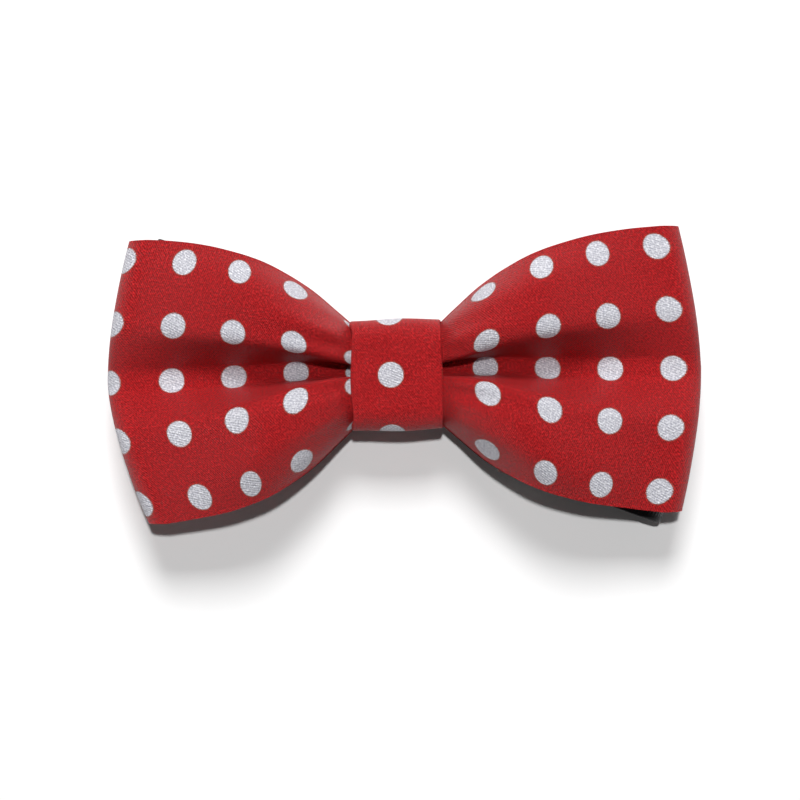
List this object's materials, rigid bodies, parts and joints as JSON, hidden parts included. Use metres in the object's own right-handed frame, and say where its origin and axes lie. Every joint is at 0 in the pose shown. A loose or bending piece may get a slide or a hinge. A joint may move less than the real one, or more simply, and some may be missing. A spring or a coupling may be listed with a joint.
{
  "type": "pre-tied bow tie",
  "caption": "Pre-tied bow tie: dotted red jacquard bow gathered by a knot band, on an adjustable black neck strap with hook, ring and slider, folded behind it.",
  "frame": {"origin": "centre of the overall box, on the plane that the folded strap rests on", "axes": "+X along the bow, +Y towards its upper edge as worn, +Z out of the face of the bow"},
  "size_m": [0.1198, 0.0612, 0.0216],
  "materials": {
    "jacquard": "satin-face jacquard, red ground with woven pale grey dots",
    "interlining": "plain woven cotton interlining",
    "red_thread": "matte sewing thread",
    "black_thread": "matte sewing thread",
    "strap_webbing": "black satin neck strap",
    "nickel": "bright nickel plate"
  },
  "bodies": {
    "bow": {"bow_cover": "jacquard", "bow_interlining": "interlining", "waist_thread": "red_thread", "knot_cover": "jacquard", "knot_pad": "interlining", "knot_stitches": "red_thread", "strap_front_run": "strap_webbing", "strap_hook_run": "strap_webbing", "hook_bartack": "black_thread", "strap_ring_run": "strap_webbing", "left_outer_bend": "strap_webbing", "left_inner_bend": "strap_webbing", "right_outer_bend": "strap_webbing", "right_inner_bend": "strap_webbing"},
    "gate_left": {"left_gate": "strap_webbing"},
    "gate_right": {"right_gate": "strap_webbing"},
    "hook_body": {"hook": "nickel"},
    "ring_body": {"ring": "nickel"},
    "slider_body": {"slider": "nickel", "slider_bartack": "black_thread", "strap_tail": "strap_webbing"}
  },
  "joints": [
    {"name": "fold_left", "type": "hinge", "parent": "bow", "child": "gate_left", "pos_m": [-0.04954, 0.01979, 0.00405], "axis": [0.3649, 0.9311, 0], "range_deg": [0, 180], "deforming": ["left_outer_bend", "left_inner_bend"]},
    {"name": "fold_right", "type": "hinge", "parent": "bow", "child": "gate_right", "pos_m": [0.05143, -0.01979, 0.00405], "axis": [-0.3649, -0.9311, 0], "range_deg": [0, 180], "deforming": ["right_outer_bend", "right_inner_bend"]},
    {"name": "hook_release", "type": "hinge", "parent": "bow", "child": "hook_body", "pos_m": [-0.03958, 0.01588, 0.00475], "axis": [0.3649, 0.9311, 0], "range_deg": [0, 60]},
    {"name": "ring_swing", "type": "hinge", "parent": "bow", "child": "ring_body", "pos_m": [-0.02515, 0.01022, 0.00445], "axis": [0.3649, 0.9311, 0], "range_deg": [0, 8]},
    {"name": "slider_slide", "type": "slide", "parent": "bow", "child": "slider_body", "axis": [0.9311, -0.3649, 0], "range_m": [-0.004, 0.015], "deforming": ["strap_tail"]}
  ]
}
